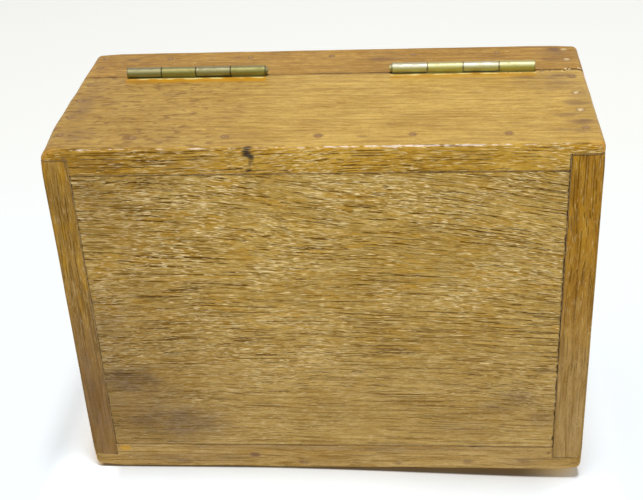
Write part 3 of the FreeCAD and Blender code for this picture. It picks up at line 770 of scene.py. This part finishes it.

    # Corners and edges are rubbed. Under each hinge the wood carries a painted glow for the light that the brass
    # throws onto it, and a painted glint just below the barrel.
    share = shares["age"]
    uneven = (cloudy - 0.5) * 0.7 + (fine - 0.5) * 0.8 + (mottled - 0.5) * 0.8
    corner = f.mark("corner")
    rubbed = f.ramp(corner * 0.8 + f.mark("edge") * 0.5 + uneven, 0.5, 1.2) * (1 - inside)
    colour = f.mix(rubbed * f.ramp(y, -60, 0) * share["rubbed"], colour, ageTones["rubbed"])
    for (low, high), glowShare in zip(hinges, board.get("brassGlow", ())):
        beneath = f.ramp(x, low[0] - 1, low[0]) * f.ramp(x, high[0] + 1, high[0]) * f.ramp(y, 82.4, 83.0)
        level = z + (mottled - 0.5) * 1.6 - low[2]
        # Painted glow: an orange band on the wood below the barrel, standing for light thrown by the brass.
        glowMask = beneath * f.ramp(level, -6.5, -3.0) * f.ramp(mottled + broad, 0.6, 1.0, 0.45, 0.9)
        colour = f.mix(glowMask * glowShare, colour, ageTones["brassGlow"])
        # Painted glint: a pale line on the wood just below the barrel.
        glint = beneath * f.ramp(level, -1.6, -1.1) * f.ramp(fine * 0.6 + mottled * 1.4, 0.92, 1.12)
        colour = f.mix(glint * share["glint"], colour, ageTones["glint"])
    # A painted highlight along the back board's rubbed outer edges. Noise breaks it up; it is fainter at the
    # corners and stronger over part of the length. Roughness is lower there too.
    sheenRun = f.ramp(x, 25, -20) * f.ramp(x, -80, -60) * 0.25
    edgeSheen = (layer("edgeSheen", straight) - 0.5) * 1.3 - corner * 0.5 + sheenRun
    worn = f.ramp(f.mark("edge") + edgeSheen, 0.93, 1.2) * board.get("edgeSheen", 0.0)
    colour = f.mix(worn * (1 - inside), colour, ageTones["worn"])
    colour = f.mix(marked("stain", 0.1, 0.9) * share["stain"], colour, ageTones["stain"])
    colour = f.mix(marked("nailed", 0.2, 1.1) * share["nailed"], colour, ageTones["stain"])
    colour = f.mix(marked("ink", 0.15, 0.85, 1.3) * share["ink"], colour, ageTones["ink"])
    colour = f.mix(marked("joint", 0.3, 1.0, 2.0) * share["joint"], colour, ageTones["joint"])

    # Chips along the lid's joint, dark and pale.
    chipped = f.ramp(f.mark("chip") + (mottled - 0.5) * 0.8, 0.1, 0.6)
    colour = f.mix(chipped * f.ramp(specks, 0.50, 0.42) * share["chip"], colour, ageTones["joint"])
    colour = f.mix(chipped * f.ramp(specks, 0.54, 0.62), colour, ageTones["lime"])

    height = fine * 0.45 + broad * 0.22 + raisedLit * 0.3 - pores * 0.3 - early * 0.08
    height = height * (0.14 + 0.86 * below) * (0.25 + 0.75 * calm) - checks * below * (1 - greyed) * 0.9
    rough = 0.44 + below * 0.40 + inside * 0.3 + pores * 0.1 - worn * 0.12
    return f.surface({
        "Base Color": colour,
        "Roughness": rough,
        "Specular IOR Level": board.get("gloss", 0.07),
        "Normal": f.bump(height, 0.45),
    })


# How each board was cut from its log: where the heart lies and how far the board is askew to it, the
# width of a year's ring, and between which x the flecks come up. The rest is what sets it apart.
logs = {
    "back_board": {"heart": (30, 170), "askew": (0.0, 0.05), "ring": 3.4, "flecks": (10, 62),
                   "weather": 0.9, "edgeSheen": 0.9, "falloffShade": (0, 80), "brassGlow": (0.55, 1.0)},
    "front_board": {"heart": (-20, -120), "askew": (0.0, 0.06), "ring": 3.0, "flecks": (90, 160)},
    "left_end_board": {"heart": (-60, 120), "askew": (0.0, -0.05), "ring": 2.6, "flecks": (90, 160),
                       "weather": 0.3, "grey": (0.385, 0.266, 0.110), "greyed": 0.75},
    "right_end_board": {"heart": (70, 130), "askew": (0.0, 0.06), "ring": 2.6, "flecks": (0, 100),
                        "weather": 0.25, "grey": (0.275, 0.170, 0.074), "greyed": 0.75},
    "bottom_panel": {"heart": (150, 60), "askew": (0.03, 0.0), "ring": 2.9, "flecks": (300, 400),
                     "weather": 1.0, "sweep": 0.0003, "dip": 0.07, "falloffShade": (25, 90), "gloss": 0.05},
    "lid_back_rail": {"heart": (20, 190), "askew": (0.0, 0.04), "ring": 2.8, "flecks": (-20, 90),
                      "figure": 1.45},
    "lid_front_rail": {"heart": (-30, 180), "askew": (0.0, 0.04), "ring": 2.7, "flecks": (90, 160)},
    "lid_left_rail": {"heart": (-60, 170), "askew": (0.0, 0.03), "ring": 2.8, "flecks": (90, 160)},
    "lid_right_rail": {"heart": (60, 170), "askew": (0.0, 0.03), "ring": 2.8, "flecks": (0, 100)},
    "lid_top_panel": {"heart": (30, 40), "askew": (0.05, 0.02), "ring": 3.4, "flecks": (90, 160)},
}

for name, board in boards.items():
    piece = makeBoard(name, board)
    piece.data.materials.append(oak(name, {**board, **logs[name]}))
    print("board", name, len(piece.data.polygons), "faces")


# Nails

ironTones = {
    "brown": (0.36, 0.20, 0.06),
    "bright": (0.72, 0.52, 0.24),
    "rust": (0.20, 0.105, 0.045),
}


def iron():
    f = Finish(bpy.data.materials.new("old_iron"))
    place = f.place()
    rust = f.ramp(f.cloud(place, (0.9, 0.9, 0.9), 3, 2.0), 0.4, 0.62)
    dull = f.cloud(place, (0.35, 0.35, 0.35), 4, 2.0)
    x, y, z = f.parts(place)
    # The nails at one end are rubbed bright, apart from the box's lowest and highest there.
    brown = f.ramp(z, 25, 24) + f.ramp(z, 57, 58) * f.ramp(z, 76, 75)
    bright = f.ramp(x, -85, -100) * (1 - brown)
    colour = f.mix(bright, ironTones["brown"], ironTones["bright"])
    colour = f.mix(rust * 0.5, colour, ironTones["rust"])
    return f.surface({
        "Base Color": colour,
        "Metallic": 0.45 - rust * 0.35,
        "Roughness": 0.42 + rust * 0.35,
        "Normal": f.bump(dull, 0.05),
    })


def nailMesh(build, spot, seed):
    # One nail: a hammered head in its dish and a tapering square shank behind it.
    inwards = -math.copysign(1, spot[1])
    rings, turns, shank = nails["rings"], nails["turns"], nails["shank"]

    def point(dx, depth, dz):
        return build.verts.new((spot[0] + dx, spot[1] + inwards * depth, spot[2] + dz))

    loops = []
    for ring in range(1, rings + 1):
        loop = []
        for turn in range(turns):
            angle = math.tau * turn / turns
            reach = nails["headWidth"] / 2 * ring / rings * (1 + 0.05 * math.sin(2 * angle + seed))
            dx, dz = reach * math.cos(angle), reach * math.sin(angle)
            dent = nails["dents"] * noise.noise((dx * 1.1 + seed * 3.1, seed, dz * 1.1))
            dome = nails["dome"] * (1 - (ring / rings) ** 2)
            loop.append(point(dx, nails["headSunk"] + dent - dome, dz))
        loops.append(loop)
    centre = point(0, nails["headSunk"] - nails["dome"], 0)
    lower = [point(rim.co.x - spot[0], nails["headDeep"], rim.co.z - spot[2]) for rim in loops[-1]]
    square = [(shank, 0), (0, shank), (-shank, 0), (0, -shank)]
    neck = [point(dx, nails["headDeep"] + 0.1, dz) for dx, dz in square]
    tip = point(0, nails["length"], 0)
    loops.append(lower)
    for turn in range(turns):
        after = (turn + 1) % turns
        build.faces.new((centre, loops[0][turn], loops[0][after]))
        for inner, outer in zip(loops, loops[1:]):
            build.faces.new((inner[turn], outer[turn], outer[after], inner[after]))
        quarter = turn * 4 // turns
        build.faces.new((lower[turn], neck[quarter], lower[after]))
    for k in range(4):
        after = (k + 1) % 4
        build.faces.new((neck[k], neck[after], lower[(k + 1) * turns // 4 % turns]))
        build.faces.new((neck[k], tip, neck[after]))


ironFinish = iron()
for row, spots in nailRows.items():
    build = bmesh.new()
    for k, spot in enumerate(spots):
        nailMesh(build, spot, k + 1.7 * len(row))
    bmesh.ops.recalc_face_normals(build, faces=build.faces)
    for face in build.faces:
        face.smooth = True
    bmesh.ops.scale(build, vec=(mm, mm, mm), verts=build.verts)
    mesh = bpy.data.meshes.new(f"iron_{row}")
    build.to_mesh(mesh)
    build.free()
    mesh.materials.append(ironFinish)
    piece = addObject(f"iron_{row}", mesh)
    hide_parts(row)
    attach(piece, bodyOf[row])
print("nails", len(nailRows), "rows")


# Hinges

brassTones = {
    "left": {"bright": (0.93, 0.88, 0.71), "dull": (0.74, 0.70, 0.50), "shadeByLid": (0.36, 0.33, 0.205),
             "shadeByBox": (0.55, 0.60, 0.265), "rough": 0.45},
    "right": {"bright": (0.47, 0.435, 0.22), "dull": (0.37, 0.34, 0.155), "shadeByLid": (0.185, 0.165, 0.08),
              "shadeByBox": (0.31, 0.325, 0.125), "rough": 0.5},
    "both": {"pitted": (0.14, 0.11, 0.045), "dirt": (0.05, 0.038, 0.015), "yellow": (1.0, 0.98, 0.55)},
}
barrel = {
    "from": case["high"][1],    # the knuckles stand proud of the back
    "pin": [place / mm for place in frame["joints"][0]["pos_m"]],
    "knuckles": 4,
    "ease": 0.22,
    "easedOver": 50,            # only edges sharper than this many degrees
}


def brass(side):
    f = Finish(bpy.data.materials.new(f"brass_{side}"))
    tones = {**brassTones["both"], **brassTones[side]}
    low, high = boxOf(f"{side}_hinge_body_leaf")
    pitch = (high[0] - low[0]) / barrel["knuckles"]
    place = f.place()
    x, y, z = f.parts(place)
    onBarrel = f.ramp(y, barrel["from"] - 0.6, barrel["from"])
    spots = f.ramp(f.cloud(place, (3.5, 2.2, 2.2), 1, 3.0), 0.40, 0.66)
    fine = f.cloud(place, (0.9, 0.4, 0.4), 2, 2.0)
    rubbed = f.cloud(place, (9, 0.3, 0.3), 3, 1.0)
    colour = f.mix(spots * 0.7, tones["bright"], tones["dull"])
    colour = f.mix(f.ramp(fine, 0.5, 0.8) * 0.3, colour, tones["pitted"])
    # Painted highlight and shade across the barrel: it is left bright along its middle, and painted darker towards
    # the lid and greener towards the box.
    lean = (y - barrel["pin"][1]) * 0.86 + (z - barrel["pin"][2]) * 0.51 + (fine - 0.5) * 0.5
    colour = f.mix(f.ramp(lean, 0.4, 1.2) * onBarrel, colour, tones["shadeByLid"])
    colour = f.mix(f.ramp(lean, 0.2, -0.7) * onBarrel, colour, tones["shadeByBox"])
    # Dirt has settled where one knuckle meets the next.
    within = f.maths("FRACT", (x - low[0]) / pitch + 0.5)
    fromSeam = f.maths("ABSOLUTE", within - 0.5) * pitch
    colour = f.mix(f.ramp(fromSeam, 0.6, 0.15) * 0.55 * onBarrel, colour, tones["dirt"])
    # The lid leaf's knuckles, every second one, are rubbed yellower than the body leaf's.
    pair = f.maths("FRACT", (x - low[0]) / (pitch * 2))
    yellow = f.ramp(pair, 0.499, 0.501, 1.0, 0.0) * onBarrel
    colour = f.mix(yellow * 0.7, colour, tones["yellow"], "MULTIPLY")
    return f.surface({
        "Base Color": colour,
        "Metallic": 0.4,
        "Roughness": tones["rough"] + spots * 0.14 + (rubbed - 0.5) * 0.3,
        "Normal": f.bump(fine + rubbed * 0.4, 0.03),
    })


brassFinishes = {side: brass(side) for side in ("left", "right")}
for node, piece in frame["nodes"].items():
    if "hinge" in node:
        piece.data.materials.clear()
        piece.data.materials.append(brassFinishes[node.split("_")[0]])
        if "leaf" in node:
            eased = piece.modifiers.new("eased", "BEVEL")
            eased.width = barrel["ease"] * mm
            eased.segments = 2
            eased.limit_method = "ANGLE"
            eased.angle_limit = math.radians(barrel["easedOver"])
print("hinges finished")


# Stage, lamps and camera

stage = {
    "reach": 2200,       # from the middle to each edge
    "dipFrom": 42,       # the cloth lies against the box up to here and falls away beyond
    "dipTo": -128,
    "dipDepth": 4.6,
    "clothGap": 0.3,
    "tone": (0.86, 0.87, 0.88),
    "farTone": (1.04, 1.05, 1.01),    # as the camera sees it
    "gapTone": (0.20, 0.18, 0.16),
    # Strips of the cloth that are made whiter, and by how much. Each pair of numbers is one side of a
    # strip: where it has faded out, and where it is full.
    "whiter": [
        {"x": (138, 118, 100, 112), "z": (140, 60, -60, -20), "by": 0.9},
        {"x": (-137, -114, -90, -112), "z": (140, 60, -60, -20), "by": 0.2},
        {"x": (-60, 0, 116, 108), "z": (-36, -4, 40, 0), "by": 0.10},
    ],
    "gap": {"x": (-114, -84, 114, 110), "z": (-0.5, 0.8, 90, 60)},
}


def floorFinish(name, nearTone, shade=0.0):
    f = Finish(bpy.data.materials.new(name))
    seen = f.add("ShaderNodeLightPath", output="Is Camera Ray")
    ground = f.add("ShaderNodeNewGeometry", output="Position")
    x, y, z = f.parts(f.stretch(ground, (1 / mm,) * 3))

    def strip(edges):
        across = f.ramp(x, *edges["x"][:2]) * f.ramp(x, *edges["x"][2:])
        return across * f.ramp(z, *edges["z"][:2]) * f.ramp(z, *edges["z"][2:])

    # Paler to the camera than it is, so that it comes out white and still takes the shadow, and whiter
    # beside the box, where the folds of real cloth throw light back into the shade.
    whitened = f.mix(f.ramp(z, 450, -30), stage["farTone"], nearTone)
    filled = sum(strip(edges) * edges["by"] for edges in stage["whiter"]) * shade + 1
    whitened = f.mix(1.0, whitened, f.join(filled, filled, filled), "MULTIPLY")
    # Deep shade in the gap under the box, where real cloth would keep light off the board above it.
    whitened = f.mix(strip(stage["gap"]) * shade, whitened, stage["gapTone"])
    lit = f.add("ShaderNodeBsdfDiffuse", None, {"Color": f.mix(seen, stage["tone"], whitened)})
    # Only its face shows, so that the sheet doesn't hide the box from behind.
    clear = f.add("ShaderNodeBsdfTransparent")
    whole = f.add("ShaderNodeMixShader", None, {0: ground.output("Backfacing"), 1: lit, 2: clear})
    f.add("ShaderNodeOutputMaterial", None, {"Surface": whole})
    return f.owner


def makeFloor(name, points, faces, finish):
    # A sheet seen from one side only, which takes the object's shadow and gives no light or shade.
    mesh = bpy.data.meshes.new(name)
    mesh.from_pydata((np.array(points) * mm).tolist(), [], faces)
    mesh.polygons.foreach_set("use_smooth", [True] * len(mesh.polygons))
    mesh.materials.append(finish)
    piece = addObject(name, mesh)
    piece.visible_shadow = False
    piece.visible_diffuse = False
    piece.visible_glossy = False
    piece.visible_transmission = False
    return piece


def makeCloth(finish):
    # The cloth that the box lies on in the picture. It falls away from the box on one side.
    reach = stage["reach"]
    lines = np.array([-reach, *np.linspace(stage["dipTo"] - 20, stage["dipFrom"] + 20, 40), reach])
    level = case["low"][1] - stage["clothGap"]
    fall = stage["dipDepth"] * smooth(-lines, -stage["dipFrom"], -stage["dipTo"])
    points = [(x, level - drop, z) for x, drop in zip(lines, fall) for z in (reach, -reach)]
    faces = [(2 * k, 2 * k + 2, 2 * k + 3, 2 * k + 1) for k in range(len(lines) - 1)]
    return makeFloor("cloth", points, faces, finish)


def makeGround(finish):
    reach = stage["reach"]
    corners = [(-reach, -reach, 0), (reach, -reach, 0), (reach, reach, 0), (-reach, reach, 0)]
    return makeFloor("ground", corners, [(0, 1, 2, 3)], finish)


makeCloth(floorFinish("cloth", (1.01, 1.09, 1.16), 0.9))
makeGround(floorFinish("ground", (1.0, 1.01, 1.0)))

# The light comes from above the box as it lies. The lamp under the cloth stands for what the cloth throws
# back. At level 1 a lamp lights a surface that faces it fully.
lamps = {
    "overhead": {"place": (-0.12, 2.6, -0.05), "size": 0.6, "level": 0.72},
    "clothGlow": {"place": (0.0, -0.35, -2.25), "size": 0.5, "level": 0.62, "mirrored": False},
    "upperFront": {"place": (1.1, -1.6, 2.0), "size": 1.8, "level": 0.75},
}
middle = Vector((0, 0, case["high"][2] / 2 * mm))
for name, lamp in lamps.items():
    light = bpy.data.lights.new(name, "AREA")
    light.shape = "DISK"
    light.size = lamp["size"]
    aim = middle - Vector(lamp["place"])
    turned = aim.to_track_quat("-Z", "Y").to_matrix().to_4x4()
    piece = addObject(name, light)
    piece.matrix_world = Matrix.Translation(lamp["place"]) @ turned
    piece.visible_glossy = lamp.get("mirrored", True)
    light.energy = lamp["level"] * math.pi ** 2 * aim.length_squared

# The world lights the box plainly, and shows white to the camera and in reflections.
studio = {
    "level": 0.30,
    "shown": (0.97, 0.975, 0.98),
}
world = bpy.data.worlds.new("studio")
bpy.context.scene.world = world
sky = Finish(world)
ray = sky.add("ShaderNodeLightPath", output="Is Camera Ray")
shows = sky.maths("MAXIMUM", ray, ray.output("Is Glossy Ray"))
shows = sky.maths("MAXIMUM", shows, ray.output("Is Transmission Ray"))
plain = sky.add("ShaderNodeBackground", None, {"Color": (1.0, 1.0, 1.0), "Strength": studio["level"]})
white = sky.add("ShaderNodeBackground", None, {"Color": studio["shown"]})
chosen = sky.add("ShaderNodeMixShader", None, {0: shows, 1: plain, 2: white})
sky.add("ShaderNodeOutputWorld", None, {"Surface": chosen})

view = {
    "place": (-42.4, 288.7, -426.2),
    "along": (0.0857, -0.5088, 0.8566),
    "up": (-0.0057, 0.8595, 0.5111),
    "lens": 66.57,
    "sensor": 36.0,
}
lens = bpy.data.cameras.new("camera")
lens.lens = view["lens"]
lens.sensor_width = view["sensor"]
lens.clip_start = 0.01
camera = addObject("camera", lens)
backwards = -Vector(view["along"]).normalized()
rightwards = Vector(view["up"]).cross(backwards).normalized()
upwards = backwards.cross(rightwards)
turned = Matrix((rightwards, upwards, backwards)).transposed().to_4x4()
camera.matrix_world = Matrix.Translation(Vector(view["place"]) * mm) @ turned
bpy.context.scene.camera = camera
bpy.context.scene.view_settings.view_transform = "Standard"
print("stage, lamps and camera placed")
